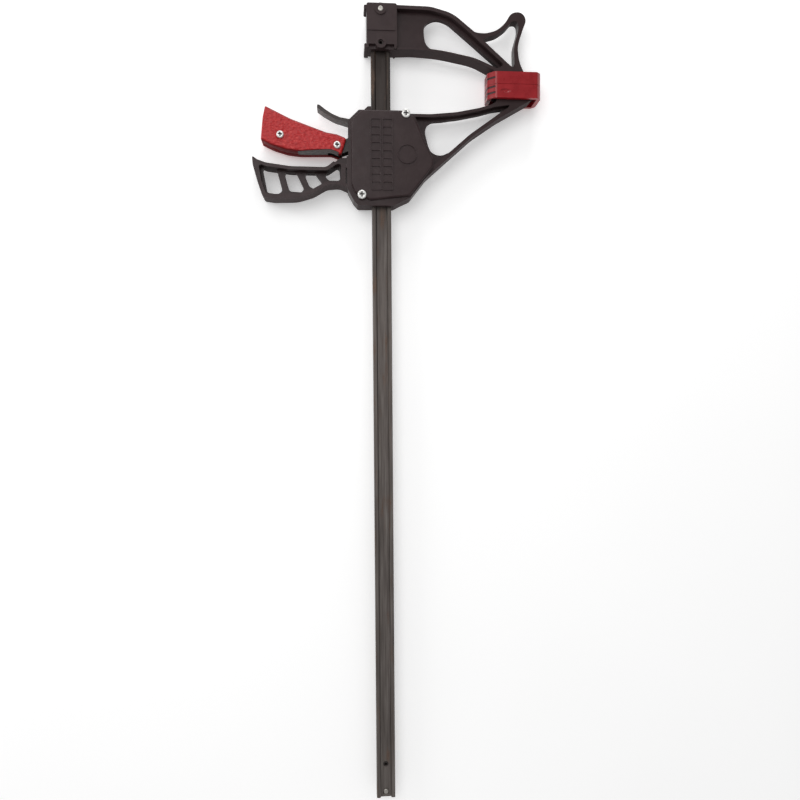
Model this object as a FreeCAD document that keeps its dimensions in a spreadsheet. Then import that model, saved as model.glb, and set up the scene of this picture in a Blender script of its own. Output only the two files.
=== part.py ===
import FreeCAD, Part
import math
import os

# One-handed quick-action bar clamp, lying on its back: +Z is up, +Y runs along the bar towards the
# fixed jaw, and +X is the side that the jaws reach to. Every sketch is drawn from the bar's centre
# line, and every sub-part is then moved by the reach, so that the origin is the centre of the fixed
# pad's clamping face. Sizes are in millimetres.

doc = FreeCAD.newDocument("bar_clamp")

SIZES = [
    ("bar_width", 20.0, "bar, across the flanges"),
    ("bar_depth", 9.5, "bar, front to back"),
    ("bar_length", 840.0, "bar, end to end"),
    ("bar_top", 78.5, "bar's upper end, above the pad face"),
    ("bar_flange", 3.8, "width of each of the bar's flanges"),
    ("bar_recess", 2.4, "depth of the recess along the bar's web"),
    ("bar_slope", 1.0, "run of the recess's sloped side"),
    ("stop_pin_inset", 36.5, "stop pin, from the bar's lower end"),
    ("rivet_inset", 6.0, "end rivet, from the bar's lower end"),
    ("reach", 141.5, "throat depth: bar centre line to pad centre"),
    ("pin_diameter", 5.5, "pins across the bar"),
    ("pin_bore", 2.4, "hollow of a roll pin"),
    ("block_depth", 25.0, "fixed jaw's block, front to back"),
    ("block_height", 45.0, "fixed jaw's block, along the bar"),
    ("boss_rise", 1.1, "raised ring round each jaw pin, above the block's face"),
    ("block_wall", 4.3, "fixed jaw's wall beside the bar"),
    ("lower_pin_height", 39.3, "lower jaw pin, above the pad face"),
    ("upper_pin_height", 73.0, "upper jaw pin, above the pad face"),
    ("arm_depth", 19.0, "arms, front to back"),
    ("web_depth", 6.0, "web between the arm's flanges"),
    ("horn_depth", 12.0, "spreading loop, front to back"),
    ("horn_band", 3.7, "spreading loop's wall"),
    ("pad_length", 56.0, "pads, along the jaw"),
    ("pad_offset", 2.0, "pads' middle, nearer the bar than the reach"),
    ("pad_depth", 30.0, "pads, front to back"),
    ("fixed_pad_height", 12.5, "fixed pad, along the bar"),
    ("moving_pad_height", 14.0, "moving pad, along the bar"),
    ("pad_wall", 4.2, "rubber wall at the ends of a foot"),
    ("foot_edge", 1.3, "a foot's edge beyond its arm, front and back"),
    ("pad_sole", 4.0, "rubber between the two feet's face and the work"),
    ("foot_height", 5.0, "jaw foot, along the bar"),
    ("pad_gap", 0.3, "gap between the closed pads"),
    ("head_back", 12.0, "sliding head, centre plane to back face"),
    ("head_front", 11.0, "sliding head, centre plane to the cover's seat"),
    ("head_length", 97.5, "sliding head, along the bar"),
    ("head_wall", 3.5, "sliding head's back wall"),
    ("cover_thick", 3.0, "front cover"),
    ("slide_gap", 0.35, "clearance round the bar where it slides"),
    ("handle_depth", 22.0, "handle, front to back"),
    ("lever_gap", 0.45, "clearance between the bar and the trigger's plates"),
    ("lever_plate", 1.8, "trigger plate thickness"),
    ("cheek_thick", 5.0, "grip cheek thickness over the trigger plate"),
    ("cheek_seam", 0.1, "half of the seam between the two cheeks"),
    ("flange_width", 4.6, "trigger plate's out-turned lower flange"),
    ("pivot_diameter", 5.0, "trigger pivot pin"),
    ("pivot_offset", 8.0, "trigger pivot, beyond the bar's edge"),
    ("pivot_drop", 52.0, "trigger pivot, below the pad face"),
    ("running_gap", 0.05, "radial clearance of a pivot"),
    ("release_depth", 15.0, "release lever, front to back"),
    ("release_pin", 3.0, "release lever's pivot pin"),
    ("release_eye", 3.6, "release lever's rounded end, radius"),
    ("release_offset", 11.0, "release pivot, beyond the bar's edge"),
    ("release_pin_drop", 39.0, "release pivot, below the pad face"),
    ("plate_thick", 2.5, "each jam plate"),
    ("plate_tail", 10.5, "jam plate, bar's edge to its left end"),
    ("plate_depth", 16.0, "jam plate, front to back"),
    ("plate_drop", 66.8, "first jam plate's upper face, below the pad face"),
    ("screw_head", 9.0, "cover screw head diameter"),
    ("grip_screw_head", 7.4, "grip screw head diameter"),
    ("screw_rise", 2.2, "screw head height"),
    ("screw_shank", 3.2, "screw shank diameter"),
    ("nut_flats", 6.6, "nut, across its flats"),
    ("nut_thick", 2.6, "nut thickness"),
]

FITS = [
    ("lever_inner", "bar_depth / 2 + lever_gap", "trigger plates' inner faces, from the centre plane"),
    ("lever_outer", "lever_inner + lever_plate", "trigger plates' outer faces"),
    ("cheek_outer", "lever_outer + cheek_thick", "grip cheeks' outer faces"),
    ("pivot_x", "bar_width / 2 + pivot_offset", "trigger pivot, from the bar's centre line"),
    ("release_pin_x", "bar_width / 2 + release_offset", "release pivot, from the bar's centre line"),
    ("plate_reach", "bar_width / 2 + plate_tail", "jam plate, centre line to its left end"),
    ("foot_depth", "arm_depth + 2 * foot_edge", "jaw foot, front to back"),
]

sheet = doc.addObject("Spreadsheet::Sheet", "Sizes")
for row, (alias, value, meaning) in enumerate(SIZES + FITS, start=1):
    sheet.set(f"A{row}", meaning)
    sheet.set(f"B{row}", str(value) if isinstance(value, float) else "=" + value)
    sheet.setAlias(f"B{row}", alias)
doc.recompute()

S = {alias: float(sheet.get(alias)) for alias, value, meaning in SIZES + FITS}

SOFT = 1000.0  # a corner radius that is as large as its two runs allow
BAR_HALF = S["bar_width"] / 2
BAR_FACE = S["bar_depth"] / 2
REACH = S["reach"]
CHEEK_OUTER = S["cheek_outer"]
HEAD_TOP = -28.5
HEAD_BOTTOM = HEAD_TOP - S["head_length"]
CAVITY_FLOOR = HEAD_BOTTOM + 15.5
COVER_FACE = S["head_front"] + S["cover_thick"]
BAR_END = S["bar_top"] - S["bar_length"]
PADS_SPLIT = -S["pad_gap"]

finished = []


# ---------------------------------------------------------------- drawing helpers


def corner_parts(before, corner, after):
    """The two ends and the middle of the arc that rounds one corner of a loop, or None if sharp."""
    point = FreeCAD.Vector(corner[0], corner[1], 0)
    to_before = FreeCAD.Vector(before[0], before[1], 0) - point
    to_after = FreeCAD.Vector(after[0], after[1], 0) - point
    turn = math.pi - to_before.getAngle(to_after)
    if corner[2] <= 0 or turn < 1e-3:
        return None
    limit = 0.499 * min(to_before.Length, to_after.Length)
    tangent = min(corner[2] * math.tan(turn / 2), limit)
    radius = tangent / math.tan(turn / 2)
    start = point + to_before.normalize() * tangent
    end = point + to_after.normalize() * tangent
    inward = (start + end) * 0.5 - point
    middle = point + inward.normalize() * (radius / math.cos(turn / 2) - radius)
    return start, middle, end


def loop_edges(corners):
    """A closed loop of straight runs joined by tangent arcs; each corner is (x, y, radius)."""
    count = len(corners)
    rounded = [corner_parts(corners[i - 1], corners[i], corners[(i + 1) % count]) for i in range(count)]
    edges = []
    for i, arc in enumerate(rounded):
        following = rounded[(i + 1) % count]
        here = FreeCAD.Vector(corners[i][0], corners[i][1], 0)
        there = FreeCAD.Vector(corners[(i + 1) % count][0], corners[(i + 1) % count][1], 0)
        if arc:
            edges.append(Part.Arc(*arc))
        start = arc[2] if arc else here
        end = following[0] if following else there
        if start.distanceToPoint(end) > 1e-4:
            edges.append(Part.LineSegment(start, end))
    return edges


def circle(x, y, radius):
    return [Part.Circle(FreeCAD.Vector(x, y, 0), FreeCAD.Vector(0, 0, 1), radius)]


def box_loop(left, right, low, high, radius=0.0):
    return loop_edges([(left, low, radius), (right, low, radius), (right, high, radius), (left, high, radius)])


def new_body(name):
    body = doc.addObject("PartDesign::Body", name)
    body.Label = name
    body.setExpression("Placement.Base.x", "-Sizes.reach")
    finished.append(body)
    return body


def sketch_on(body, name, plane, loops, offset=None):
    """A sketch on one of the body's own planes; offset is an expression along the plane's normal."""
    sketch = body.newObject("Sketcher::SketchObject", name)
    role = [item for item in body.Origin.OriginFeatures if item.Role == plane][0]
    sketch.AttachmentSupport = [(role, "")]
    sketch.MapMode = "FlatFace"
    if offset:
        sketch.setExpression("AttachmentOffset.Base.z", offset)
    for loop in loops:
        sketch.addGeometry(loop, False)
    return sketch


def pad(body, name, loops, length, plane="XY_Plane", offset=None, both=False, down=False):
    """Adds material: length is an expression, both spreads it equally to each side."""
    feature = body.newObject("PartDesign::Pad", name)
    feature.Profile = sketch_on(body, name + "_outline", plane, loops, offset)
    feature.setExpression("Length", length)
    feature.Midplane = both
    feature.Reversed = down
    doc.recompute()
    return feature


def cut(body, name, loops, length, plane="XY_Plane", offset=None, both=False, up=False):
    """Takes material away below the sketch, or above it; a cut that removes nothing is refused."""
    before = body.Shape.Volume
    feature = body.newObject("PartDesign::Pocket", name)
    feature.Profile = sketch_on(body, name + "_outline", plane, loops, offset)
    feature.setExpression("Length", length)
    feature.Midplane = both
    feature.Reversed = up
    doc.recompute()
    if body.Shape.Volume > before - 1e-3:
        raise ValueError(f"{body.Label}: {name} removes nothing")
    return feature


def soften(body, name, radius, wanted):
    """Rounds the edges that wanted() picks from the body's present shape."""
    tip = body.Tip
    names = [f"Edge{i}" for i, edge in enumerate(tip.Shape.Edges, start=1) if wanted(edge)]
    feature = body.newObject("PartDesign::Fillet", name)
    feature.Base = (tip, names)
    feature.Radius = radius
    doc.recompute()
    return feature


def at_level(level):
    """Picks the edges that lie wholly at one height."""
    return lambda edge: all(abs(v.Z - level) < 1e-3 for v in edge.Vertexes) and abs(
        edge.CenterOfMass.z - level) < 1e-3


def join(name, pieces):
    """One node made of several separate solids."""
    group = doc.addObject("Part::Compound", name)
    group.Label = name
    group.Links = pieces
    group.setExpression("Placement.Base.x", "-Sizes.reach")
    finished.append(group)
    return group


# ---------------------------------------------------------------- bar and its pins


def make_bar():
    body = new_body("bar")
    inner = BAR_HALF - S["bar_flange"]
    foot = inner - S["bar_slope"]
    web = BAR_FACE - S["bar_recess"]
    section = loop_edges([
        (-BAR_HALF, -BAR_FACE, 0.9), (-inner, -BAR_FACE, 0.6), (-foot, -web, 0.5), (foot, -web, 0.5),
        (inner, -BAR_FACE, 0.6), (BAR_HALF, -BAR_FACE, 0.9), (BAR_HALF, BAR_FACE, 0.9),
        (inner, BAR_FACE, 0.6), (foot, web, 0.5), (-foot, web, 0.5), (-inner, BAR_FACE, 0.6),
        (-BAR_HALF, BAR_FACE, 0.9),
    ])
    pad(body, "bar_section", [section], "Sizes.bar_length", plane="XZ_Plane", offset="-Sizes.bar_top")
    radius = S["pin_diameter"] / 2
    stop_y = BAR_END + S["stop_pin_inset"]
    rivet_y = BAR_END + S["rivet_inset"]
    holes = [circle(0, y, radius) for y in (stop_y, rivet_y, S["lower_pin_height"], S["upper_pin_height"])]
    cut(body, "pin_holes", holes, "Sizes.bar_depth * 2", both=True)


def make_roll_pin(name, y, length):
    body = new_body(name)
    loops = [circle(0, y, S["pin_diameter"] / 2), circle(0, y, S["pin_bore"] / 2)]
    pad(body, name + "_tube", loops, length, both=True)
    soften(body, name + "_ends", 0.35, lambda edge: is_rim(edge, S["pin_diameter"] / 2))


def is_rim(edge, radius):
    """Picks circular edges of one radius."""
    curve = edge.Curve
    return hasattr(curve, "Radius") and abs(curve.Radius - radius) < 1e-3


def make_dowel(name, x, y, diameter, length):
    body = new_body(name)
    pad(body, name + "_shaft", [circle(x, y, S[diameter] / 2)], length, both=True)
    soften(body, name + "_ends", 0.6, lambda edge: is_rim(edge, S[diameter] / 2))


def make_rivet():
    """A domed head on each side of the bar's web, on a shank that fills the hole."""
    body = new_body("bar_end_rivet")
    y = BAR_END + S["rivet_inset"]
    pad(body, "rivet_shank", [circle(0, y, S["pin_diameter"] / 2)], "Sizes.bar_depth - 2 * Sizes.bar_recess + 2.6", both=True)
    soften(body, "rivet_domes", 1.1, lambda edge: is_rim(edge, S["pin_diameter"] / 2))


# ---------------------------------------------------------------- fixed jaw


def fixed_arm_outer():
    """The arm's outline: along the top, down the diagonal to the foot, and back along the bottom."""
    return [
        (8, 79.0, 0), (52, 78.4, 40), (75, 72.4, 40), (97.6, 54.4, 60),
        (REACH - 6, 21.0, 0), (REACH - 1, 9.0, 0), (REACH - 19.5, 9.0, 0), (REACH - 23, 15.5, 5),
        (REACH - 44, 26.0, 60), (60, 33.2, 200), (33, 34.6, 60), (8, 33.5, 0),
    ]


def fixed_arm_inner():
    """The inside of the arm's flanges."""
    return [
        (10, 75.4, 0), (52, 74.8, 40), (73, 69.2, 40), (94.8, 51.6, 60),
        (REACH - 11, 20.3, 6), (REACH - 20, 17.9, 4), (REACH - 43.5, 27.8, 60), (60, 35.1, 200),
        (33, 36.6, 60), (10, 35.6, 0),
    ]


def teardrop_window():
    return [
        (45.5, 52.0, SOFT), (45.5, 62.5, SOFT), (56, 69.6, SOFT), (69, 67.0, SOFT), (94.5, 46.2, 60),
        (REACH - 13.4, 18.2, 1.5), (REACH - 20, 19.6, 8), (REACH - 44, 28.7, 60), (63, 35.4, 60), (52, 38.2, SOFT),
        (47, 43.5, SOFT),
    ]


def horn_outer():
    """The loop beside the arm: it is the rest for spreading, and ends above the pad."""
    return [
        (91, 59.5, 0), (100, 55.0, 20), (110, 54.6, 20), (121, 57.2, 25), (131, 65.0, 30),
        (REACH - 4, 76.8, 12), (REACH + 7, 77.6, 8), (REACH + 12.5, 70.0, 9), (REACH + 8, 58.5, 25),
        (REACH + 2.6, 42.0, 30), (REACH + 4.6, 26.0, 40), (REACH + 12, 10.5, 0), (REACH + 3, 10.5, 0),
        (REACH - 6, 17.0, 0), (104, 44.0, 0),
    ]


def horn_inner():
    band = S["horn_band"]
    return [
        (106.2, 47.0, 1.5), (112, 54.6 - band, 15), (122, 57.2 - band, 25), (132.5, 64.6 - band, 25),
        (REACH - 2.4, 76.0 - band * 2, 5), (REACH + 3.2, 75.0 - band * 2, 3.5),
        (REACH + 4.8 - band * 0.2, 60.0, 25), (REACH + 2.6 - band, 42.0, 30), (REACH + 3.2 - band, 24.0, 3),
        (REACH - 2.2, 20.3, 1.2),
    ]


def make_fixed_jaw():
    body = new_body("fixed_jaw")
    wall = BAR_HALF + S["block_wall"]
    low = S["upper_pin_height"] + 6.0 - S["block_height"]
    high = low + S["block_height"]
    block = box_loop(-wall, wall + 2.5, low, high, 2.0)
    pad(body, "block", [block], "Sizes.block_depth", both=True)
    step_edge = low + 3.8
    strip = box_loop(-wall + 1.8, wall - 0.3, low - 1.0, step_edge)
    cut(body, "front_step", [strip], "Sizes.block_depth", offset="Sizes.block_depth / 2 - 3.5", up=True)
    cut(body, "back_step", [strip], "Sizes.block_depth", offset="3.5 - Sizes.block_depth / 2")
    pad(body, "flanges", [loop_edges(fixed_arm_outer()), loop_edges(fixed_arm_inner())], "Sizes.arm_depth", both=True)
    pad(body, "web", [loop_edges(fixed_arm_outer()), loop_edges(teardrop_window())], "Sizes.web_depth", both=True)
    pad(body, "horn", [loop_edges(horn_outer()), loop_edges(horn_inner())], "Sizes.horn_depth", both=True)
    add_foot(body, 1)
    top_lip = box_loop(-wall - 2.7, -wall + 3, high - 4.5, high - 0.3, 1.4)
    pad(body, "top_lip", [top_lip], "Sizes.block_depth - 8", both=True)
    bottom_lip = box_loop(-wall - 2.7, -wall + 1.8, low, low + 4.0, 1.4)
    pad(body, "bottom_lip", [bottom_lip], "Sizes.block_depth", both=True)
    middle = (S["lower_pin_height"] + S["upper_pin_height"]) / 2 - 2.2
    band = box_loop(-wall, wall + 0.5, middle - 2.6, middle + 2.6)
    pad(body, "face_band", [band], "Sizes.block_depth + 1.6", both=True)
    for name, y in (("lower_boss", S["lower_pin_height"]), ("upper_boss", S["upper_pin_height"])):
        pad(body, name, [circle(0, y, S["pin_diameter"] / 2 + 3.0)], "Sizes.block_depth + 2 * Sizes.boss_rise", both=True)
    slot = box_loop(-BAR_HALF, BAR_HALF, -BAR_FACE, BAR_FACE, 0.9)
    cut(body, "bar_slot", [slot], "Sizes.block_height * 4", plane="XZ_Plane", both=True)
    holes = [circle(0, S[key], S["pin_diameter"] / 2) for key in ("lower_pin_height", "upper_pin_height")]
    cut(body, "pin_holes", holes, "Sizes.block_depth * 2", both=True)


def add_foot(body, side):
    """The plate inside a rubber pad: side is 1 above the fixed pad's face, -1 below the moving pad's."""
    near = S["pad_sole"] if side > 0 else PADS_SPLIT - S["pad_sole"]
    far = near + side * S["foot_height"]
    half = S["pad_length"] / 2 - S["pad_wall"]
    centre = REACH - S["pad_offset"]
    foot = box_loop(centre - half, centre + half, min(near, far), max(near, far), 1.0)
    pad(body, "foot", [foot], "Sizes.foot_depth", both=True)


def make_pad(name, side):
    """A rubber boot that wraps the foot; side is 1 for the fixed jaw and -1 for the moving one."""
    body = new_body(name)
    face = 0.0 if side > 0 else PADS_SPLIT
    height = S["fixed_pad_height"] if side > 0 else S["moving_pad_height"]
    centre = REACH - S["pad_offset"]
    half = S["pad_length"] / 2
    depth = S["pad_depth"] / 2
    plan = loop_edges([
        (centre - half, -depth * 0.55, 6), (centre - half + 7, -depth, 7), (centre + half - 4.5, -depth, 3),
        (centre + half, -depth + 4.5, 3), (centre + half, depth - 4.5, 3), (centre + half - 4.5, depth, 3),
        (centre - half + 7, depth, 7), (centre - half, depth * 0.55, 6),
    ])
    length = "Sizes.fixed_pad_height" if side > 0 else "Sizes.moving_pad_height"
    offset = None if side > 0 else "Sizes.pad_gap"
    pad(body, "boot", [plan], length, plane="XZ_Plane", offset=offset, down=side > 0)
    inside = half - S["pad_wall"]
    recess = box_loop(centre - inside, centre + inside, -S["foot_depth"] / 2, S["foot_depth"] / 2, 1.0)
    sole = S["pad_sole"] * side + face
    start = f"{-sole}"
    cut(body, "foot_recess", [recess], "Sizes.moving_pad_height * 2", plane="XZ_Plane", offset=start, up=side < 0)
    grooves = [box_loop(centre - half - 1, centre - half + 1.4, y, y + 1.1)
               for y in groove_heights(face, side, height)]
    cut(body, "grip_grooves", grooves, "Sizes.pad_depth * 0.5", both=True)


def groove_heights(face, side, height):
    """Three grooves across the pad's inner end."""
    return [face + side * height * share for share in (0.28, 0.52, 0.76)]


# ---------------------------------------------------------------- sliding head


def head_outline():
    left = -34.4
    return [
        (-23, HEAD_TOP, 3), (21, HEAD_TOP, 5), (35, HEAD_TOP - 5.8, 5), (44.5, -56, 40), (54.5, -77, 8),
        (54.8, -86, 7), (30, -117.5, 8), (20, HEAD_BOTTOM + 4.0, 5), (12.5, HEAD_BOTTOM, 3),
        (-24.6, HEAD_BOTTOM, 3), (-29.4, HEAD_BOTTOM + 5.4, 4), (left - 1.2, -109.0, 4), (left, -104, 3),
        (left, -39.5, 4),
    ]


def head_cavity():
    return [
        (-21, -34, 2), (15, -34, 2), (27, -40, 3), (35, -62, 20), (39, -90, 4), (23, CAVITY_FLOOR, 4),
        (-20.8, CAVITY_FLOOR, 1), (-28.5, -104.5, 2), (-28.5, -42, 2),
    ]


def cover_outline():
    return [
        (-19.5, -29.2, 3), (20, -29.2, 4), (34, -34.8, 4), (43, -56, 40), (53.6, -78, 7), (53.2, -86, 7),
        (29, -116.2, 6), (8, -118.4, 30), (-12, -121.0, 5), (-28.4, -113, 5), (-31.2, -105, 4),
        (-31.2, -39.5, 4),
    ]


def moving_arm_outer():
    return [
        (24, -31.0, 0), (52, -31.0, 60), (79, -28.4, 80), (103, -23.5, 60), (REACH - 26, -19.8, 6),
        (REACH - 21, -17.0, 2), (REACH - 19, -9.0, 0), (REACH + 17, -9.0, 0), (REACH + 16.5, -14.4, 0),
        (REACH - 19, -34.7, 60), (96.4, -52.5, 60), (52, -91.6, 0), (26, -116.0, 0), (20, -100.0, 0),
    ]


def moving_arm_inner():
    return [
        (30, -34.0, 0), (52, -34.0, 60), (80, -31.3, 80), (104, -26.3, 60), (REACH - 23, -22.2, 4),
        (REACH - 14, -20.8, 2), (REACH - 6, -19.6, 2), (REACH - 7.5, -22.2, 1.5), (REACH - 20, -30.6, 60),
        (94, -50.2, 60), (66, -74.3, 0), (40, -96.0, 0),
    ]


def jaw_window():
    """The gap between the moving jaw's two arms."""
    return [
        (45.5, -46.0, SOFT), (50.5, -36.8, SOFT), (64, -35.7, 30), (86, -32.0, 80), (106, -27.8, 60),
        (REACH - 21, -23.3, 6), (REACH - 11.0, -22.6, 1.2), (REACH - 20.5, -29.6, 60), (93.5, -49.2, 60),
        (72, -68.0, 12), (62, -72.6, SOFT), (51, -68.0, SOFT),
    ]


def handle_outline():
    """The fixed handle, from its butt on the left to its root in the head's wall."""
    return [
        (-132.6, -77.0, 0.8), (-127.5, -80.6, 5), (-119, -83.6, 10), (-94, -87.0, 60), (-57, -87.4, 10),
        (-48.5, -80.5, 5), (-42.5, -76.0, 2), (-30, -76.0, 0), (-30, -112.0, 0), (-36.5, -107.8, 5),
        (-44, -104.6, 12), (-57, -105.8, 12), (-71, -114.0, 20), (-88, -119.2, 40), (-112, -119.8, 20),
        (-122.4, -118.4, 4), (-127.4, -103.0, 40), (-132.0, -86.0, 10),
    ]


def handle_hollow():
    """Inside the handle's rim, where only its thin web is left."""
    return [
        (-126.4, -84.4, 3), (-119, -87.2, 10), (-94, -90.4, 60), (-56, -90.8, 10), (-46.5, -84.0, 5),
        (-42.0, -84.0, 2), (-42.0, -101.4, 3), (-57, -102.0, 12), (-72, -110.2, 20), (-88, -115.0, 40),
        (-111, -115.4, 20), (-119.6, -114.4, 3), (-123.6, -102.0, 40),
    ]


HANDLE_WINDOWS = [
    [(-123.2, -86.6, 3), (-108.6, -87.8, 3), (-102.8, -110.8, 3), (-107.6, -113.8, 2.5), (-118.4, -112.4, 3)],
    [(-101.2, -90.0, 3.5), (-88.4, -91.8, 3.5), (-80.4, -108.4, 3.5), (-83.4, -111.6, 2.5), (-95.6, -110.8, 3.5)],
    [(-80.8, -91.4, 4), (-69.6, -91.4, 4), (-61.4, -102.4, 3), (-69.6, -108.4, 3.5), (-75.0, -105.4, 4)],
    [(-59.2, -94.2, 3), (-51.0, -86.8, 3.5), (-44.0, -86.4, 2.5), (-42.8, -99.0, 2.5), (-54.8, -99.2, 4)],
]


def make_jaw_housing():
    """The cast sliding head, with the moving arms on one side and the fixed handle on the other."""
    body = new_body("jaw_housing")
    depth = "Sizes.head_front + Sizes.head_back"
    pad(body, "head", [loop_edges(head_outline())], depth, offset="-Sizes.head_back")
    windows = [loop_edges(window) for window in HANDLE_WINDOWS]
    pad(body, "handle_web", [loop_edges(handle_outline())] + windows, "Sizes.web_depth", both=True)
    pad(body, "handle_rim", [loop_edges(handle_outline()), loop_edges(handle_hollow())], "Sizes.handle_depth",
        both=True)
    pad(body, "arm_flanges", [loop_edges(moving_arm_outer()), loop_edges(moving_arm_inner())],
        "Sizes.arm_depth", both=True)
    pad(body, "arm_web", [loop_edges(moving_arm_outer()), loop_edges(jaw_window())], "Sizes.web_depth", both=True)
    add_foot(body, -1)
    edge = -BAR_HALF - S["slide_gap"]
    wiper = loop_edges([(edge - 9, HEAD_TOP - 3, 0), (edge, HEAD_TOP - 3, 0), (edge, HEAD_TOP + 4.0, 0.5),
                        (edge - 3.4, HEAD_TOP + 4.0, 1.5), (edge - 6.5, HEAD_TOP + 1.2, 1.5)])
    pad(body, "wiper_lip", [wiper], "2 * Sizes.head_front - 2", both=True)
    hollow_head(body)
    relieve_handle_root(body)


def hollow_head(body):
    """The space for the works, open at the front, and the ways out of it."""
    top = "Sizes.head_front"
    cut(body, "works_space", [loop_edges(head_cavity())],
        "Sizes.head_front + Sizes.head_back - Sizes.head_wall", offset=top)
    wide = BAR_HALF + S["slide_gap"]
    deep = BAR_FACE + S["slide_gap"]
    slot = box_loop(-wide, wide, -deep, deep, 1.0)
    cut(body, "bar_slot", [slot], "Sizes.head_length * 4", plane="XZ_Plane", both=True)
    release = S["release_pin_drop"]
    cut(body, "release_way", [box_loop(-40, -19, -release - 9.5, -release + 3.6)],
        "Sizes.release_depth + 1.6", both=True)
    eye_seat = circle(S["release_pin_x"], -release, S["release_eye"] + 1.4)
    cut(body, "release_eye_seat", [eye_seat], "Sizes.release_depth + 1.6", both=True)
    for name, offset, up in (("front_way", "Sizes.lever_inner - 0.6", True),
                             ("back_way", "0.6 - Sizes.lever_inner", False)):
        cut(body, name, [box_loop(-40, -24, -86.2, -50.6)], "Sizes.lever_plate + 1.1", offset=offset, up=up)
    ledge = box_loop(-32, -17.5, -release - 12.4, -release - 9.6)
    pad(body, "spring_ledge", [ledge], "2 * Sizes.lever_inner - 1.2", both=True)
    release_hole = circle(S["release_pin_x"], -release, S["release_pin"] / 2)
    pivot_hole = circle(S["pivot_x"], -S["pivot_drop"], S["pivot_diameter"] / 2)
    cut(body, "pivot_holes", [release_hole, pivot_hole], "Sizes.head_back * 4", both=True)
    screws = [circle(x, y, S["screw_shank"] / 2) for x, y in COVER_SCREWS]
    cut(body, "screw_holes", screws, "16", offset=top)


def relieve_handle_root(body):
    """The handle's root is thin between the trigger's two side plates, which swing down past it."""
    for name, offset, up in (("front_relief", "Sizes.lever_inner - 0.6", True),
                             ("back_relief", "0.6 - Sizes.lever_inner", False)):
        corners = [(-50.8, -81.4, 0), (-36.2, -84.6, 1), (-36.2, -60.0, 0), (-50.8, -60.0, 0)]
        cut(body, name, [loop_edges(corners)], "Sizes.handle_depth", offset=offset, up=up)
    slit = box_loop(-37.2, -35.8, -104.0, -88.0, 0.6)
    cut(body, "root_slit", [slit], "3", offset="Sizes.handle_depth / 2")


COVER_SCREWS = [(25.4, -32.6), (-20.7, -115.7)]
CROSS_SHARE = 0.56
CROSS_WIDTH = 1.15
CROSS_DEPTH = 1.5
GRIP_SCREWS = [(-103.7, -55.7), (-45.8, -65.2)]


def make_cover():
    body = new_body("housing_cover")
    pad(body, "plate", [loop_edges(cover_outline())], "Sizes.cover_thick", offset="Sizes.head_front")
    soften(body, "front_edge", 1.7, at_level(COVER_FACE))
    face = "Sizes.head_front + Sizes.cover_thick - 0.2"
    for number, (left, right) in enumerate(((-11.4, -0.3), (0.7, 11.8))):
        pad(body, f"panel_{number}", [box_loop(left, right, -111.0, -37.6, 1.0)] + panel_cells(left, right), "1.1",
            offset=face)
    pad(body, "ring", [circle(26.5, -73.6, 10.0), circle(26.5, -73.6, 9.1)], "1.1", offset=face)
    screws = [circle(x, y, S["screw_shank"] / 2) for x, y in COVER_SCREWS]
    pins = [circle(S["release_pin_x"], -S["release_pin_drop"], S["release_pin"] / 2),
            circle(S["pivot_x"], -S["pivot_drop"], S["pivot_diameter"] / 2)]
    cut(body, "screw_holes", screws, "Sizes.cover_thick * 3", offset="Sizes.head_front", both=True)
    cut(body, "pin_seats", pins, "1.5", offset="Sizes.head_front", up=True)


def panel_cells(left, right):
    """A plain row of recessed cells inside one raised panel of the cover."""
    count = 9
    step = 72.0 / count
    lows = [-110.3 + step * i + 0.45 for i in range(count)]
    return [box_loop(left + 0.9, right - 0.9, low, low + step - 0.9, 1.2) for low in lows]


def screw_solid(name, x, y, seat, head_size, shank_end):
    """A pan head with a cross recess on a plain shank."""
    head = doc.addObject("Part::Cylinder", name + "_head")
    head.setExpression("Radius", f"Sizes.{head_size} / 2")
    head.setExpression("Height", "Sizes.screw_rise")
    head.Placement.Base = FreeCAD.Vector(x, y, seat)
    doc.recompute()
    dome = doc.addObject("Part::Fillet", name + "_dome")
    dome.Base = head
    rims = [i for i, edge in enumerate(head.Shape.Edges, start=1)
            if is_rim(edge, S[head_size] / 2) and edge.CenterOfMass.z > seat + 0.1]
    dome.Edges = [(i, 1.2, 1.2) for i in rims]
    stem = doc.addObject("Part::Cylinder", name + "_shank")
    stem.setExpression("Radius", "Sizes.screw_shank / 2")
    stem.Height = seat - shank_end
    stem.Placement.Base = FreeCAD.Vector(x, y, shank_end)
    whole = doc.addObject("Part::MultiFuse", name + "_blank")
    whole.Shapes = [dome, stem]
    slots = []
    arm = S[head_size] * CROSS_SHARE
    for letter, wide, tall in (("a", arm, CROSS_WIDTH), ("b", CROSS_WIDTH, arm)):
        slot = doc.addObject("Part::Box", f"{name}_slot_{letter}")
        slot.Length = wide
        slot.Width = tall
        slot.Height = CROSS_DEPTH + 1.0
        slot.Placement.Base = FreeCAD.Vector(x - wide / 2, y - tall / 2, seat + S["screw_rise"] - CROSS_DEPTH)
        slots.append(slot)
    cross = doc.addObject("Part::MultiFuse", name + "_cross")
    cross.Shapes = slots
    screw = doc.addObject("Part::Cut", name)
    screw.Base = whole
    screw.Tool = cross
    return screw


def make_cover_screws():
    screws = [screw_solid(f"cover_screw_{i}", x, y, COVER_FACE, "screw_head", S["head_front"] - 10.0)
              for i, (x, y) in enumerate(COVER_SCREWS)]
    join("cover_screws", screws)


def make_grip_screws():
    screws = [screw_solid(f"grip_screw_{i}", x, y, CHEEK_OUTER, "grip_screw_head", -CHEEK_OUTER - 1.0)
              for i, (x, y) in enumerate(GRIP_SCREWS)]
    join("grip_screws", screws)


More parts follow.
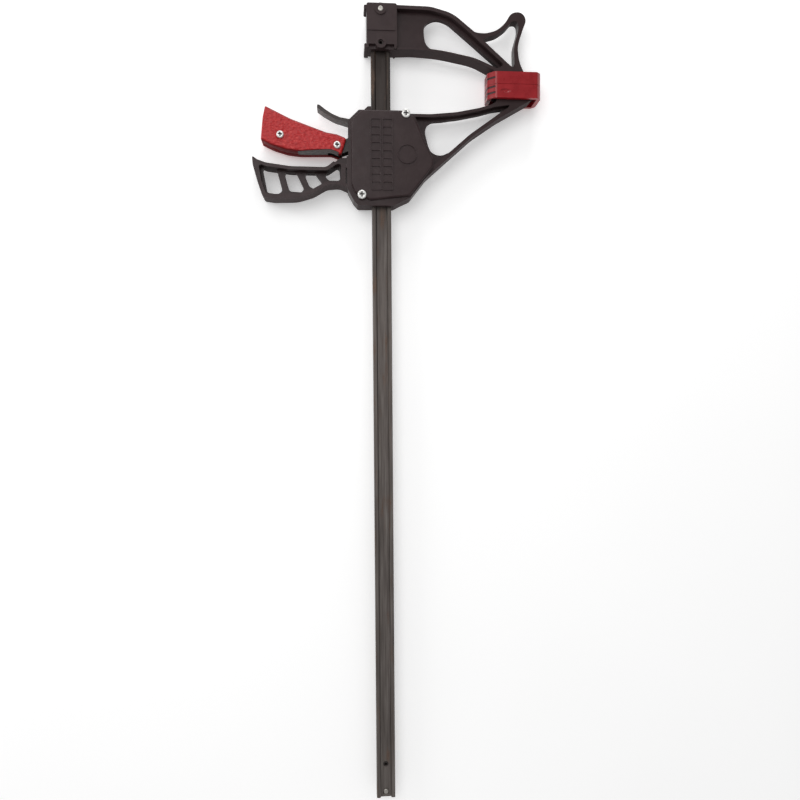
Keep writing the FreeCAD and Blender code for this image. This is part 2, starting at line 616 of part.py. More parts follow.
def make_grip_nuts():
    nuts = []
    for i, (x, y) in enumerate(GRIP_SCREWS):
        blank = doc.addObject("Part::Prism", f"nut_blank_{i}")
        blank.Polygon = 6
        blank.setExpression("Circumradius", "Sizes.nut_flats / 1.7320508")
        blank.setExpression("Height", "Sizes.nut_thick")
        blank.Placement.Base = FreeCAD.Vector(x, y, -CHEEK_OUTER - 1.4)
        hole = doc.addObject("Part::Cylinder", f"nut_hole_{i}")
        hole.setExpression("Radius", "Sizes.screw_shank / 2")
        hole.Height = 12
        hole.Placement.Base = FreeCAD.Vector(x, y, -CHEEK_OUTER - 5)
        nut = doc.addObject("Part::Cut", f"nut_{i}")
        nut.Base = blank
        nut.Tool = hole
        nuts.append(nut)
    join("grip_nuts", nuts)


# ---------------------------------------------------------------- trigger


def cheek_outline():
    return [
        (-121.4, -38.0, 40), (-118.8, -26.4, 1.0), (-93, -39.0, 60), (-57, -52.0, 20), (-46, -53.8, 10),
        (-36.2, -57.6, 2.5), (-41.9, -75.2, 2.5), (-52, -71.2, 12), (-84, -71.8, 60), (-97, -70.4, 30),
        (-112, -66.0, 40), (-123.6, -60.4, 1.6),
    ]


def make_cheek(name, side):
    body = new_body(name)
    sign = "" if side > 0 else "-"
    pad(body, "moulding", [loop_edges(cheek_outline())], "Sizes.cheek_outer - Sizes.cheek_seam",
        offset=sign + "Sizes.cheek_seam", down=side < 0)
    soften(body, "outer_edge", 2.2, at_level(side * CHEEK_OUTER))
    cut(body, "plate_pocket", [loop_edges(lever_outline())], "Sizes.lever_outer", up=side > 0)
    cut(body, "root_way", [ROOT_WAY], "2 * Sizes.lever_inner", both=True)
    if side > 0:
        cut(body, "flange_seat", [loop_edges(flange_outline())], "Sizes.cheek_outer * 2", up=True)
    holes = [circle(x, y, S["screw_shank"] / 2) for x, y in GRIP_SCREWS]
    cut(body, "screw_holes", holes, "Sizes.cheek_outer * 4", both=True)
    if side < 0:
        seats = [nut_seat(x, y) for x, y in GRIP_SCREWS]
        cut(body, "nut_seats", seats, "Sizes.nut_thick", offset=f"{-CHEEK_OUTER + S['nut_thick'] - 1.4}")


def nut_seat(x, y):
    """A hexagon that holds the nut."""
    radius = S["nut_flats"] / math.sqrt(3.0)
    turns = [math.radians(60 * k) for k in range(6)]
    return loop_edges([(x + radius * math.cos(a), y + radius * math.sin(a), 0) for a in turns])


def lever_outline():
    """The trigger's side plate: it runs inside the cheeks, past the bar, and round the pivot."""
    x = S["pivot_x"]
    y = -S["pivot_drop"]
    return [
        (-117, -35.0, 3), (-93, -43.5, 40), (-57, -56.0, 20), (-40, -58.6, 8), (-26, -53.0, 6),
        (x, y + 7.0, SOFT), (x + 7.5, y + 7.0, SOFT), (x + 7.5, y - 7.5, SOFT), (x, y - 7.5, SOFT),
        (-BAR_HALF - 3.5, y - 13.0, 3), (-BAR_HALF - 5.5, -S["plate_drop"] + 0.4, 2),
        (-BAR_HALF - 13.4, -S["plate_drop"] + 0.4, 1),
        (-31, -68.5, 6), (-44.4, -73.2, 1), (-52.2, -70.2, 10), (-71, -70.8, 3), (-77, -67.4, 6), (-96, -65.0, 30),
        (-118.4, -56.5, 4),
    ]


def spine_outline():
    """The part of the trigger between its two side plates."""
    return [
        (-116, -36.4, 3), (-93, -44.6, 40), (-60, -56.6, 3), (-57, -67.0, 3), (-72, -66.6, 20),
        (-96, -64.0, 30), (-117, -56.0, 3),
    ]


# where the thin root of the fixed handle enters the squeezed trigger
ROOT_WAY = box_loop(-55.5, -32.0, -80.0, -66.9)


def flange_outline():
    """The out-turned strip on which the front cheek's lower edge sits."""
    return [
        (-86, -72.0, 0), (-66, -70.2, 60), (-52, -69.2, 12), (-44.0, -72.6, 0), (-44.6, -74.6, 0.4),
        (-52.2, -71.5, 10), (-72, -72.1, 20),
    ]


def make_trigger_lever():
    body = new_body("trigger_lever")
    pad(body, "spine", [loop_edges(spine_outline())], "2 * Sizes.lever_inner", both=True)
    plate = loop_edges(lever_outline())
    pad(body, "front_plate", [plate], "Sizes.lever_plate", offset="Sizes.lever_inner")
    pad(body, "back_plate", [loop_edges(lever_outline())], "Sizes.lever_plate", offset="-Sizes.lever_inner", down=True)
    pad(body, "front_flange", [loop_edges(flange_outline())], "Sizes.lever_outer + Sizes.flange_width")
    cut(body, "root_way", [ROOT_WAY], "2 * Sizes.lever_inner", both=True)
    pivot = circle(S["pivot_x"], -S["pivot_drop"], S["pivot_diameter"] / 2 + S["running_gap"])
    screws = [circle(x, y, S["screw_shank"] / 2) for x, y in GRIP_SCREWS]
    cut(body, "holes", [pivot] + screws, "Sizes.cheek_outer * 4", both=True)


# ---------------------------------------------------------------- release lever and jam plates


def release_outline():
    """Seen from the front: a curved thumb piece, then a flat plate across the bar to its pivot."""
    x = S["release_pin_x"]
    y = -S["release_pin_drop"]
    eye = S["release_eye"]
    return [
        (-65.8, -22.8, 0.6), (-63.4, -23.2, 1.0), (-58, -27.4, 12), (-50.8, -32.0, 20), (-42.5, -35.4, 12),
        (-33, y + 2.0, 10),
        (x - 5, y + 2.0, 4), (x, y + eye, SOFT), (x + eye, y + eye, SOFT), (x + eye, y - eye, SOFT),
        (x, y - eye, SOFT), (x - 5, y - 2.0, 4), (-34, y - 2.0, 12), (-48, -37.0, 20), (-58.5, -31.4, 20),
        (-66.2, -26.0, 1.0),
    ]


def make_release_lever():
    body = new_body("release_lever")
    pad(body, "plate", [loop_edges(release_outline())], "Sizes.release_depth", both=True)
    deep = BAR_FACE + S["slide_gap"]
    wide = BAR_HALF + S["slide_gap"] + 0.5
    window = box_loop(-wide, wide, -deep, deep, 0.6)
    cut(body, "bar_window", [window], "Sizes.release_pin_drop * 3", plane="XZ_Plane", both=True)
    y = -S["release_pin_drop"]
    hole = circle(S["release_pin_x"], y, S["release_pin"] / 2 + S["running_gap"])
    cut(body, "pivot_hole", [hole], "Sizes.release_depth * 2", both=True)


def make_jam_plate(name, number):
    body = new_body(name)
    gap = 0.15 * number
    top = f"Sizes.plate_drop + {number} * Sizes.plate_thick + {gap}"
    left = -S["plate_reach"]
    right = BAR_HALF + 4.6
    deep = BAR_FACE + S["slide_gap"]
    wide = BAR_HALF + S["slide_gap"]
    half = S["plate_depth"] / 2
    outline = [box_loop(left, right, -half, half, 1.5), box_loop(-wide, wide, -deep, deep, 0.6)]
    pad(body, "blade", outline, "Sizes.plate_thick", plane="XZ_Plane", offset=top)


def make_spring(name, x, top, bottom, coil, wire, turns):
    """An open coil spring along the bar's direction."""
    spring = doc.addObject("Part::Feature", name)
    spring.Label = name
    length = top - bottom - wire
    helix = Part.makeHelix(length / turns, length, coil)
    start = FreeCAD.Vector(coil, 0, 0)
    section = Part.Wire([Part.Circle(start, FreeCAD.Vector(0, 1, 0), wire / 2).toShape()])
    coil_solid = Part.Wire(helix.Edges).makePipeShell([section], True, True)
    spring.Shape = coil_solid
    upright = FreeCAD.Rotation(FreeCAD.Vector(1, 0, 0), -90)
    spring.Placement = FreeCAD.Placement(FreeCAD.Vector(0, bottom + wire / 2, 0), upright)
    spring.setExpression("Placement.Base.x", f"{x} - Sizes.reach")
    finished.append(spring)


def make_springs():
    last_plate = -S["plate_drop"] - 3 * S["plate_thick"] - 0.45
    make_spring("drive_spring", -BAR_HALF - 5.9, last_plate - 0.1, CAVITY_FLOOR + 0.2, 3.6, 1.2, 8)
    release_under = -S["release_pin_drop"] - 2.0
    make_spring("release_spring", -BAR_HALF - 12.0, release_under - 0.1, -S["release_pin_drop"] - 9.5, 2.8, 1.0, 3)


# ---------------------------------------------------------------- build, check and write


def build():
    make_bar()
    make_rivet()
    make_roll_pin("bar_roll_pin", BAR_END + S["stop_pin_inset"], "Sizes.bar_depth - 2 * Sizes.bar_recess + 1.2")
    make_fixed_jaw()
    make_roll_pin("jaw_pin_lower", S["lower_pin_height"], "Sizes.block_depth - 1")
    make_dowel("jaw_pin_upper", 0, S["upper_pin_height"], "pin_diameter",
               "Sizes.block_depth + 2 * Sizes.boss_rise + 0.6")
    make_pad("fixed_jaw_pad", 1)
    make_jaw_housing()
    make_cover()
    make_cover_screws()
    make_pad("moving_jaw_pad", -1)
    make_dowel("trigger_pivot_pin", S["pivot_x"], -S["pivot_drop"], "pivot_diameter", "2 * Sizes.head_back + 1.0")
    make_dowel("release_pivot_pin", S["release_pin_x"], -S["release_pin_drop"], "release_pin",
               "2 * Sizes.head_back - 2")
    make_trigger_lever()
    make_cheek("grip_cheek_front", 1)
    make_cheek("grip_cheek_back", -1)
    make_grip_screws()
    make_grip_nuts()
    make_release_lever()
    for number in range(3):
        make_jam_plate(f"jam_plate_{number + 1}", number)
    make_springs()
    doc.recompute()


def check():
    for item in doc.Objects:
        if "Invalid" in item.State or "Error" in item.State:
            raise ValueError(f"{item.Label} did not build: {item.State}")
    for item in finished:
        shape = item.Shape
        if shape.isNull() or not shape.isValid() or not shape.Solids:
            raise ValueError(f"{item.Label} is not a valid solid")


def write():
    os.makedirs("parts", exist_ok=True)
    for item in finished:
        item.Shape.exportStep(f"parts/{item.Label}.step")
        box = item.Shape.BoundBox
        print(f"{item.Label}: {len(item.Shape.Solids)} solid(s), {item.Shape.Volume / 1000:.2f} cm3, "
              f"X {box.XMin:.1f}..{box.XMax:.1f} Y {box.YMin:.1f}..{box.YMax:.1f} Z {box.ZMin:.1f}..{box.ZMax:.1f}")


build()
check()
write()
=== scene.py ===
import math
import bpy
from mathutils import Matrix, Vector


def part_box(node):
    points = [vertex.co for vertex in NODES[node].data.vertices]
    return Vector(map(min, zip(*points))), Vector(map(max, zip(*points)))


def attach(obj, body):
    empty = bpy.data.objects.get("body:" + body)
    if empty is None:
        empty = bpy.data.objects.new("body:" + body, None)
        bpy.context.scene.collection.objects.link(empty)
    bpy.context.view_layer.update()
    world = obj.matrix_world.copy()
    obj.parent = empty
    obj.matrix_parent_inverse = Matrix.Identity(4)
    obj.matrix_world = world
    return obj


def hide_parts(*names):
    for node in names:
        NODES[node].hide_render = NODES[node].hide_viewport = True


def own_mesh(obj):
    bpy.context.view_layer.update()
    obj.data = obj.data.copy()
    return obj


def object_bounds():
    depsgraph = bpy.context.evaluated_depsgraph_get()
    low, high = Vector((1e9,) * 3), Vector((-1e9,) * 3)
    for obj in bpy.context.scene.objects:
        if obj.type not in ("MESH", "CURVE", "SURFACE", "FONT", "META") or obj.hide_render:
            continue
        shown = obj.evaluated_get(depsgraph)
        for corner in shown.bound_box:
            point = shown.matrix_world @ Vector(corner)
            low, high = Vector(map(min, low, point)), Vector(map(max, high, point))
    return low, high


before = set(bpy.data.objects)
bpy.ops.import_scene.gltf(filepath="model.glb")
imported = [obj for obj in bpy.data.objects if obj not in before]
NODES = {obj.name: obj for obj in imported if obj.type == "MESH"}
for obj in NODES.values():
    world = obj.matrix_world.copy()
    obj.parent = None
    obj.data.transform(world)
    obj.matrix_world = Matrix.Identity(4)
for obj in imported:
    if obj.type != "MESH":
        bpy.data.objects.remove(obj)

# A one-handed bar clamp lying on a pale floor: finishes for every CAD node, coils for the two springs,
# soft studio light and the camera. Metres; +Y runs up the bar to the fixed jaw, and +Z is the front.

CAD_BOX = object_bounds()
SCENE = bpy.context.scene


# ------------------------------------------------------------------ places, from the frame


BAR_LOW, BAR_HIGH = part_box("bar")
BAR_X = (BAR_LOW.x + BAR_HIGH.x) / 2
PAD_LOW, PAD_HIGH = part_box("moving_jaw_pad")
FLOOR_Z = min(corner[2] for corner in CAD_BOX)


# ------------------------------------------------------------------ material helpers


MIX_COLOURS = (6, 7)  # the colour mix node's two inputs
MIX_RESULT = 2
TURNED_DOWN = (-0.3, -0.8)  # a surface's Y direction where its side starts to count as turned down, and is


class Shader:
    """A node material with one Principled shader, and short calls that add and join nodes."""

    def __init__(self, name, roughness, metallic=0.0, gloss=0.5):
        self.material = bpy.data.materials.new(name)
        self.material.use_nodes = True
        self.tree = self.material.node_tree
        self.bsdf = self.tree.nodes["Principled BSDF"]
        self.bsdf.inputs["Roughness"].default_value = roughness
        self.bsdf.inputs["Metallic"].default_value = metallic
        self.bsdf.inputs["Specular IOR Level"].default_value = gloss
        place = self.tree.nodes.new("ShaderNodeTexCoord")
        self.coords = place.outputs["Object"]
        self.normal = place.outputs["Normal"]

    def join(self, socket, value):
        """Links another node's output to socket, or sets a plain value there."""
        if isinstance(value, bpy.types.NodeSocket):
            self.tree.links.new(value, socket)
        else:
            socket.default_value = value

    def add(self, kind, inputs=None, **settings):
        node = self.tree.nodes.new(kind)
        for key, value in settings.items():
            setattr(node, key, value)
        for key, value in (inputs or {}).items():
            self.join(node.inputs[key], value)
        return node

    def parts(self, vector):
        """The X, Y and Z outputs of a place or a direction."""
        return self.add("ShaderNodeSeparateXYZ", {"Vector": vector}).outputs

    def stretched(self, scale):
        mapping = self.add("ShaderNodeMapping", {"Vector": self.coords, "Scale": scale})
        return mapping.outputs["Vector"]

    def noise(self, scale, detail=4.0, rough=0.55, along=None):
        inputs = {"Vector": along or self.coords, "Scale": scale, "Detail": detail, "Roughness": rough}
        return self.add("ShaderNodeTexNoise", inputs).outputs["Fac"]

    def ramp(self, factor, stops):
        """A colour for each value of factor, from stops of (factor, colour)."""
        node = self.add("ShaderNodeValToRGB", {"Fac": factor})
        elements = node.color_ramp.elements
        while len(elements) < len(stops):
            elements.new(0.5)
        for element, (place, colour) in zip(elements, stops):
            element.position = place
            element.color = (*colour, 1.0)
        return node.outputs["Color"]

    def levels(self, factor, low, high, to_low=0.0, to_high=1.0):
        """Moves factor's range from low..high to to_low..to_high, and keeps it inside."""
        node = self.add("ShaderNodeMapRange", {
            "Value": factor, "From Min": low, "From Max": high, "To Min": to_low, "To Max": to_high})
        return node.outputs["Result"]

    def blend(self, factor, first, second):
        """The first colour where factor is 0, and the second where it is 1."""
        node = self.add("ShaderNodeMix", {"Factor": factor}, data_type="RGBA")
        for index, colour in zip(MIX_COLOURS, (first, second)):
            self.join(node.inputs[index], (*colour, 1.0) if isinstance(colour, tuple) else colour)
        return node.outputs[MIX_RESULT]

    def maths(self, operation, *values):
        node = self.add("ShaderNodeMath", operation=operation)
        for socket, value in zip(node.inputs, values):
            self.join(socket, value)
        return node.outputs["Value"]

    def bump(self, height, strength, distance, under=None):
        """A normal raised by height, on top of the normal under."""
        inputs = {"Height": height, "Strength": strength, "Distance": distance}
        if under is not None:
            inputs["Normal"] = under
        return self.add("ShaderNodeBump", inputs).outputs["Normal"]

    def duller(self, rough, where, most):
        """At least the roughness most where the mask is 1."""
        return self.maths("MAXIMUM", rough, self.maths("MULTIPLY", where, most))

    def wire(self, **sockets):
        """Links outputs to the Principled shader, as in Base_Color=output."""
        for name, output in sockets.items():
            self.tree.links.new(output, self.bsdf.inputs[name.replace("_", " ")])


# ------------------------------------------------------------------ materials


def moulded_nylon():
    """Dark glass-filled nylon: satin and faintly mottled, with a fine grain, duller on sides turned down."""
    shader = Shader("moulded_nylon", roughness=0.36, gloss=0.24)
    mottle = shader.noise(60, detail=3)
    colour = shader.ramp(mottle, [(0.3, (0.028, 0.0150, 0.0158)), (0.7, (0.038, 0.0225, 0.0230))])
    fine = shader.noise(2600, detail=2)
    soft = shader.noise(160)
    bumps = shader.bump(fine, 0.18, 0.0002)
    bumps = shader.bump(soft, 0.16, 0.0006, bumps)
    under = shader.levels(shader.parts(shader.normal)["Y"], *TURNED_DOWN)
    rough = shader.duller(shader.levels(soft, 0.3, 0.7, 0.30, 0.42), under, 0.7)
    shader.wire(Base_Color=colour, Normal=bumps, Roughness=rough)
    return shader.material


def rolled_bar():
    """Brown-grey mill scale, darker towards the jaws, with streaks and patches of rust along the bar."""
    shader = Shader("rolled_bar_steel", roughness=0.5, metallic=0.55)
    streaks = shader.noise(1.0, detail=5, rough=0.6, along=shader.stretched((420, 14, 420)))
    scale = shader.ramp(streaks, [(0.32, (0.090, 0.076, 0.069)), (0.55, (0.155, 0.134, 0.123)),
                                  (0.75, (0.23, 0.21, 0.195))])
    near_jaws = shader.levels(shader.parts(shader.coords)["Y"], -0.24, -0.02)
    scale = shader.blend(near_jaws, scale, (0.034, 0.026, 0.023))
    patches = shader.noise(1.0, detail=5, rough=0.65, along=shader.stretched((150, 22, 150)))
    rust_mask = shader.levels(patches, 0.55, 0.72)
    speck = shader.noise(900, detail=3)
    rust = shader.ramp(speck, [(0.35, (0.085, 0.046, 0.030)), (0.7, (0.17, 0.105, 0.07))])
    colour = shader.blend(rust_mask, scale, rust)
    bumps = shader.bump(speck, 0.2, 0.0002)
    bumps = shader.bump(streaks, 0.25, 0.0004, bumps)
    shader.wire(Base_Color=colour, Normal=bumps, Roughness=shader.levels(patches, 0.3, 0.75, 0.40, 0.68),
                Metallic=shader.levels(rust_mask, 0.0, 1.0, 0.6, 0.2))
    return shader.material


SLOT_HEIGHTS = (0.0064, -0.0029, -0.0089)  # the slots' middles, from the fixed pad's face
SLOT_HALF = 0.0011
SLOT_REACH = 0.0075  # from a pad's inner end
DENT_X, DENT_Y = 0.0178, -0.0075  # the dent's middle: beyond the pad's inner end, below the fixed pad's face
DENT_WIDE, DENT_TALL = 0.0052, 0.0021  # half sizes
FAR_OUT = 5.0  # a distance that lies outside the dent


def red_rubber():
    """Glossy moulded rubber: slots across the pads' inner ends, drawn with a bump and painted shade, and a
    dent in the moving pad's face.
    """
    shader = Shader("red_rubber", roughness=0.3, gloss=0.32)
    shader.bsdf.inputs["Coat Weight"].default_value = 0.2
    shader.bsdf.inputs["Coat Roughness"].default_value = 0.2
    cloud = shader.noise(90)
    colour = shader.ramp(cloud, [(0.3, (0.25, 0.004, 0.008)), (0.7, (0.33, 0.007, 0.012))])
    place = shader.parts(shader.coords)
    slots = slot_groove_and_shade_mask(shader, place)
    # painted shade: the slots are coloured near black for the shade inside the grooves
    colour = shader.blend(slots, colour, (0.020, 0.002, 0.003))
    dent = shader.levels(dent_distance(shader, place), 0.55, 1.1)
    ripple = shader.noise(240, detail=3)
    bumps = shader.bump(ripple, 0.2, 0.0005)
    bumps = shader.bump(dent, 0.9, 0.0012, bumps)
    bumps = shader.bump(shader.maths("SUBTRACT", 1.0, slots), 0.8, 0.001, bumps)
    shader.wire(Base_Color=colour, Normal=bumps, Roughness=shader.levels(cloud, 0.3, 0.7, 0.24, 0.38))
    return shader.material


def slot_groove_and_shade_mask(shader, place):
    """One inside the slots, none elsewhere: it carries both the slots' bump and their painted shade."""
    bands = []
    for height in SLOT_HEIGHTS:
        away = shader.maths("ABSOLUTE", shader.maths("SUBTRACT", place["Y"], height))
        bands.append(shader.levels(away, SLOT_HALF, SLOT_HALF * 0.7))
    total = bands[0]
    for band in bands[1:]:
        total = shader.maths("MAXIMUM", total, band)
    end = PAD_LOW.x + SLOT_REACH
    return shader.maths("MULTIPLY", total, shader.levels(place["X"], end, end - 0.0004))


def dent_distance(shader, place):
    """How far from the middle of an oval on the front face a point is, as a share of its half sizes."""
    across = shader.maths("DIVIDE", shader.maths("SUBTRACT", place["X"], PAD_LOW.x + DENT_X), DENT_WIDE)
    up = shader.maths("DIVIDE", shader.maths("SUBTRACT", place["Y"], DENT_Y), DENT_TALL)
    squares = [shader.maths("MULTIPLY", side, side) for side in (across, up)]
    away = shader.maths("POWER", shader.maths("ADD", *squares), 0.5)
    behind = shader.levels(place["Z"], PAD_HIGH.z - 0.002, PAD_HIGH.z - 0.001, FAR_OUT, 0.0)
    return shader.maths("ADD", away, behind)


def grained_grip():
    """Red moulded plastic: leather-like grain on the flats, smooth above and dull below, with painted shade
    making faces turned up darker and faces turned down dark.
    """
    shader = Shader("grained_red_plastic", roughness=0.36, gloss=0.32)
    facing = shader.parts(shader.normal)["Y"]
    upper = shader.levels(facing, 0.12, 0.5)
    under = shader.levels(facing, *TURNED_DOWN)
    cells = shader.add("ShaderNodeTexVoronoi", {"Vector": shader.stretched((360, 620, 500)), "Scale": 1.0},
                       feature="SMOOTH_F1").outputs["Distance"]
    cloud = shader.noise(330, detail=5, rough=0.62)
    colour = shader.ramp(cloud, [(0.32, (0.34, 0.008, 0.010)), (0.55, (0.46, 0.016, 0.018)),
                                 (0.72, (0.60, 0.075, 0.065))])
    # painted shade: faces turned up are coloured a darker red
    colour = shader.blend(upper, colour, (0.27, 0.004, 0.007))
    # painted shade: faces turned down are coloured dark
    colour = shader.blend(under, colour, (0.20, 0.003, 0.005))
    grain = shader.levels(upper, 0.0, 1.0, 0.55, 0.05)
    bumps = shader.bump(shader.levels(cells, 0.1, 0.7), grain, 0.0007)
    bumps = shader.bump(cloud, grain, 0.0006, bumps)
    rough = shader.duller(shader.levels(cloud, 0.3, 0.7, 0.30, 0.48), under, 0.8)
    shader.wire(Base_Color=colour, Normal=bumps, Roughness=rough)
    return shader.material


def bright_metal(name, light, dark, roughness, metallic):
    """Plated, ground or blackened steel with fine cloudy variation."""
    shader = Shader(name, roughness, metallic)
    cloud = shader.noise(380)
    scratch = shader.noise(1.0, detail=3, rough=0.5, along=shader.stretched((3000, 600, 600)))
    shader.wire(Base_Color=shader.ramp(cloud, [(0.3, dark), (0.7, light)]),
                Normal=shader.bump(scratch, 0.12, 0.0001),
                Roughness=shader.levels(cloud, 0.3, 0.7, roughness - 0.08, roughness + 0.1))
    return shader.material


def recess_painted_shade():
    """Painted shade inside a screw's cross or a pin's bore, near black and faintly mottled."""
    shader = Shader("recess_painted_shade", roughness=0.8, gloss=0.1)
    shade_mottle = shader.noise(700, detail=2)
    shader.wire(Base_Color=shader.ramp(shade_mottle, [(0.3, (0.010, 0.009, 0.009)), (0.7, (0.030, 0.020, 0.018))]))
    return shader.material


# ------------------------------------------------------------------ CAD nodes: edges and finishes


WELD_REACH = 0.000005
SHARP_EDGE = math.radians(40)
CROSS_REACH = {"cover_screws": 0.0026, "grip_screws": 0.0022}  # half of a screw's cross
BORE_REACH = 0.0016  # a little over a roll pin's bore
RECESS_SKIN = 0.0004  # how far inside an end face the painted recess shade starts


def dress(node, material, bevel):
    """Gives a CAD node its finish and, with modifiers only, softly rounded edges."""
    obj = NODES[node]
    mesh = obj.data
    if mesh.attributes.get("custom_normal"):
        mesh.attributes.remove(mesh.attributes["custom_normal"])
    mesh.materials.clear()
    mesh.materials.append(material)
    mesh.polygons.foreach_set("use_smooth", [True] * len(mesh.polygons))
    weld = obj.modifiers.new("join_faces", "WELD")
    weld.merge_threshold = WELD_REACH
    if bevel:
        rounding = obj.modifiers.new("soft_edges", "BEVEL")
        rounding.width = bevel
        rounding.segments = 2
        rounding.limit_method = "ANGLE"
        rounding.angle_limit = SHARP_EDGE
        rounding.use_clamp_overlap = True
        rounding.harden_normals = False
    shade = obj.modifiers.new("even_shading", "WEIGHTED_NORMAL")
    shade.keep_sharp = False
    shade.weight = 100


def paint_faces(node, material, chosen):
    """Gives the faces whose middle passes chosen() a second material; here it is the painted recess shade.
    """
    mesh = NODES[node].data
    mesh.materials.append(material)
    for face in mesh.polygons:
        if chosen(face.center):
            face.material_index = 1


def near_axis(places, radius):
    """Picks points closer than radius to any of the upright lines through places."""
    return lambda point: any(math.hypot(point.x - x, point.y - y) < radius for x, y in places)


def pair_centres(node):
    """Centres, seen from the front, of the left and the right solid of a node that has two."""
    low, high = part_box(node)
    middle = (low.x + high.x) / 2
    points = [vertex.co for vertex in NODES[node].data.vertices]
    centres = []
    for group in ([co for co in points if co.x < middle], [co for co in points if co.x >= middle]):
        xs = [co.x for co in group]
        ys = [co.y for co in group]
        centres.append(((min(xs) + max(xs)) / 2, (min(ys) + max(ys)) / 2))
    return centres


def paint_recesses():
    """Painted shade on the insides of the screws' crosses and the roll pins' bores."""
    # painted shade: the recesses' faces get a near-black material for the shade in them
    shadow = recess_painted_shade()
    for node, reach in CROSS_REACH.items():
        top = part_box(node)[1].z - RECESS_SKIN
        inside = near_axis(pair_centres(node), reach)
        paint_faces(node, shadow, lambda point: inside(point) and point.z < top)
    for node in ("jaw_pin_lower", "bar_roll_pin"):
        low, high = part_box(node)
        inside = near_axis([((low.x + high.x) / 2, (low.y + high.y) / 2)], BORE_REACH)
        paint_faces(node, shadow, lambda point: inside(point) and abs(point.z) < high.z - RECESS_SKIN)


def dress_all(steel):
    nylon = moulded_nylon()
    bar = rolled_bar()
    rubber = red_rubber()
    grip = grained_grip()
    zinc = bright_metal("zinc_plate", light=(0.86, 0.86, 0.84), dark=(0.72, 0.71, 0.68),
                        roughness=0.34, metallic=0.55)
    black = bright_metal("blackened_steel", light=(0.044, 0.034, 0.031), dark=(0.026, 0.020, 0.019),
                         roughness=0.42, metallic=0.4)
    finishes = {
        "fixed_jaw": (nylon, 0.0007),
        "jaw_housing": (nylon, 0.0007),
        "housing_cover": (nylon, 0.0003),
        "bar": (bar, 0.0),
        "bar_end_rivet": (steel, 0.0),
        "bar_roll_pin": (black, 0.0),
        "jaw_pin_lower": (black, 0.0),
        "jaw_pin_upper": (steel, 0.0),
        "trigger_pivot_pin": (steel, 0.0),
        "release_pivot_pin": (steel, 0.0),
        "fixed_jaw_pad": (rubber, 0.0013),
        "moving_jaw_pad": (rubber, 0.0013),
        "grip_cheek_front": (grip, 0.0),
        "grip_cheek_back": (grip, 0.0),
        "cover_screws": (zinc, 0.0),
        "grip_screws": (zinc, 0.0),
        "grip_nuts": (zinc, 0.0002),
        "trigger_lever": (black, 0.0003),
        "release_lever": (black, 0.0006),
        "jam_plate_1": (black, 0.0),
        "jam_plate_2": (black, 0.0),
        "jam_plate_3": (black, 0.0),
    }
    for node, (material, edge) in finishes.items():
        dress(node, material, edge)
    paint_recesses()


# ------------------------------------------------------------------ springs


STEPS_PER_TURN = 28
WIRE_SIDES = 10
CLOSED_TURNS = 0.5  # nearly flat, at each end of a spring


def coil_path(turns, radius, height):
    """Points up a spring whose first and last half turns lie nearly flat."""
    steps = int(turns * STEPS_PER_TURN)
    points = []
    for i in range(steps + 1):
        turn = turns * i / steps
        rise = min(max((turn - CLOSED_TURNS) / (turns - 2 * CLOSED_TURNS), 0.0), 1.0)
        angle = math.tau * turn
        points.append(Vector((radius * math.cos(angle), height * rise, radius * math.sin(angle))))
    return points


def tube_mesh(name, points, thickness):
    """A closed round wire along points that wind round the Y axis; thickness is its radius."""
    verts = []
    for i, point in enumerate(points):
        ahead = points[min(i + 1, len(points) - 1)] - points[max(i - 1, 0)]
        out = Vector((point.x, 0.0, point.z)).normalized()
        across = ahead.normalized().cross(out).normalized()
        for k in range(WIRE_SIDES):
            angle = math.tau * k / WIRE_SIDES
            verts.append(point + (out * math.cos(angle) + across * math.sin(angle)) * thickness)
    faces = []
    for i in range(len(points) - 1):
        for k in range(WIRE_SIDES):
            here = i * WIRE_SIDES + k
            beside = i * WIRE_SIDES + (k + 1) % WIRE_SIDES
            faces.append((here, beside, beside + WIRE_SIDES, here + WIRE_SIDES))
    faces.append(tuple(range(WIRE_SIDES - 1, -1, -1)))
    faces.append(tuple(len(verts) - WIRE_SIDES + k for k in range(WIRE_SIDES)))
    mesh = bpy.data.meshes.new(name)
    mesh.from_pydata(verts, [], faces)
    mesh.polygons.foreach_set("use_smooth", [True] * len(mesh.polygons))
    return mesh


def coil(name, node, turns, wire, material):
    """A spring in place of a CAD one, riding on the carriage body."""
    low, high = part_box(node)
    middle = (low + high) / 2
    radius = (high.x - low.x) / 2 - wire
    mesh = tube_mesh(name, coil_path(turns, radius, high.y - low.y - 2 * wire), wire)
    mesh.materials.append(material)
    spring = bpy.data.objects.new(name, mesh)
    spring.location = (middle.x, low.y + wire, middle.z)
    SCENE.collection.objects.link(spring)
    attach(spring, "carriage")
    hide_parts(node)
    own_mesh(spring)


# ------------------------------------------------------------------ stage, light and camera


FLOOR_HALF = 6.0
CAMERA_PLACE = Vector((-0.0396, -0.2962, 0.7456))  # from the bar's centre line, level with the pad faces
CAMERA_YAW, CAMERA_PITCH, CAMERA_ROLL = -0.0775, -0.0438, -0.0067
CAMERA_LENS = 31.5
SENSOR = 36.0


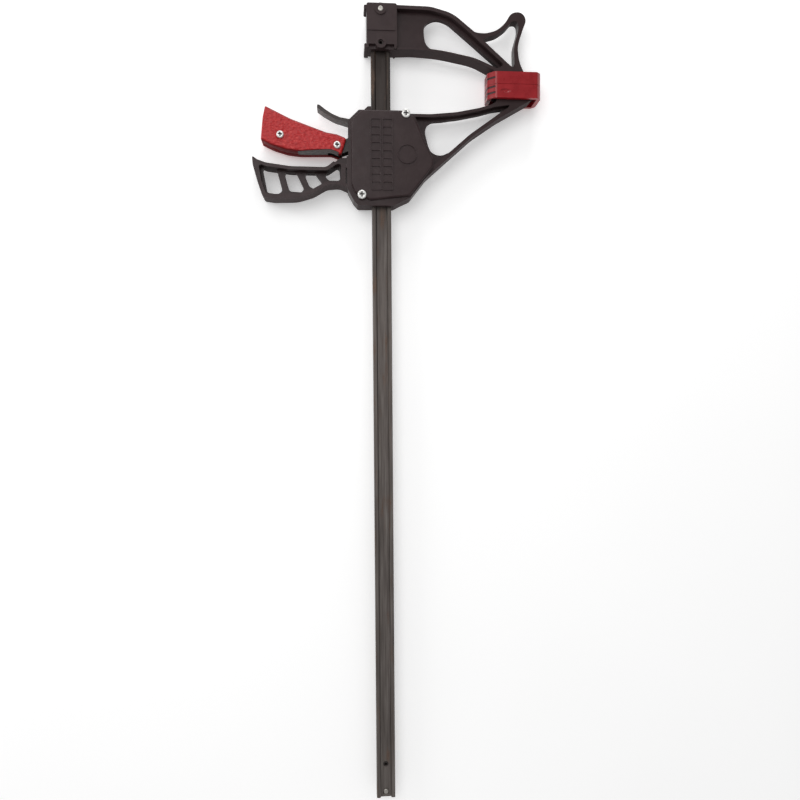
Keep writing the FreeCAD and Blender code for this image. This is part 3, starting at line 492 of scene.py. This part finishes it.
def make_floor():
    mesh = bpy.data.meshes.new("floor")
    corners = [(x * FLOOR_HALF, y * FLOOR_HALF, FLOOR_Z) for x, y in ((-1, -1), (1, -1), (1, 1), (-1, 1))]
    mesh.from_pydata(corners, [], [(0, 1, 2, 3)])
    floor = bpy.data.objects.new("floor", mesh)
    SCENE.collection.objects.link(floor)
    shader = Shader("pale_floor", roughness=0.9)
    shader.bsdf.inputs["Emission Color"].default_value = (1.0, 1.0, 1.0, 1.0)
    shader.bsdf.inputs["Emission Strength"].default_value = 0.30
    cloud = shader.noise(4, detail=2)
    shader.wire(Base_Color=shader.ramp(cloud, [(0.2, (0.94, 0.94, 0.94)), (0.8, (0.96, 0.96, 0.96))]))
    mesh.materials.append(shader.material)


def area_light(name, place, target, size, power):
    data = bpy.data.lights.new(name, "AREA")
    data.shape = "DISK"
    data.size = size
    data.energy = power
    light = bpy.data.objects.new(name, data)
    light.location = place
    light.rotation_euler = (Vector(target) - Vector(place)).to_track_quat("-Z", "Y").to_euler()
    SCENE.collection.objects.link(light)


def make_light():
    """A white room, a broad key light, and low lights that pick out the head's edges."""
    world = bpy.data.worlds.new("studio")
    SCENE.world = world
    world.use_nodes = True
    background = world.node_tree.nodes["Background"]
    background.inputs["Color"].default_value = (1.0, 1.0, 1.0, 1.0)
    background.inputs["Strength"].default_value = 0.42
    centre = (BAR_X, -0.2, 0.0)
    area_light("key", (-0.7, 0.5, 1.8), centre, size=1.4, power=13)
    area_light("low_fill", (0.1, -1.7, 1.0), centre, size=1.6, power=0.8)
    head = (BAR_X, 0.0, 0.0)
    area_light("upper_edge", (BAR_X + 0.1, 1.1, 0.45), head, size=0.5, power=5)
    area_light("left_edge", (BAR_X - 1.1, 0.2, 0.45), head, size=0.5, power=3)


def make_camera():
    data = bpy.data.cameras.new("camera")
    data.lens = CAMERA_LENS
    data.sensor_width = SENSOR
    camera = bpy.data.objects.new("camera", data)
    turn = Matrix.Identity(4)
    for angle, axis in ((CAMERA_YAW, "Y"), (CAMERA_PITCH, "X"), (CAMERA_ROLL, "Z")):
        turn = turn @ Matrix.Rotation(angle, 4, axis)
    camera.matrix_world = Matrix.Translation(CAMERA_PLACE + Vector((BAR_X, 0, 0))) @ turn
    SCENE.collection.objects.link(camera)
    SCENE.camera = camera


SCENE.view_settings.view_transform = "Standard"
pin_steel = bright_metal("ground_pin_steel", light=(0.52, 0.50, 0.46), dark=(0.30, 0.28, 0.26),
                         roughness=0.32, metallic=0.9)
dress_all(pin_steel)
coil("drive_coil", "drive_spring",
     turns=8, wire=0.0006, material=pin_steel)
coil("release_coil", "release_spring",
     turns=3, wire=0.0005, material=pin_steel)
make_floor()
make_light()
make_camera()
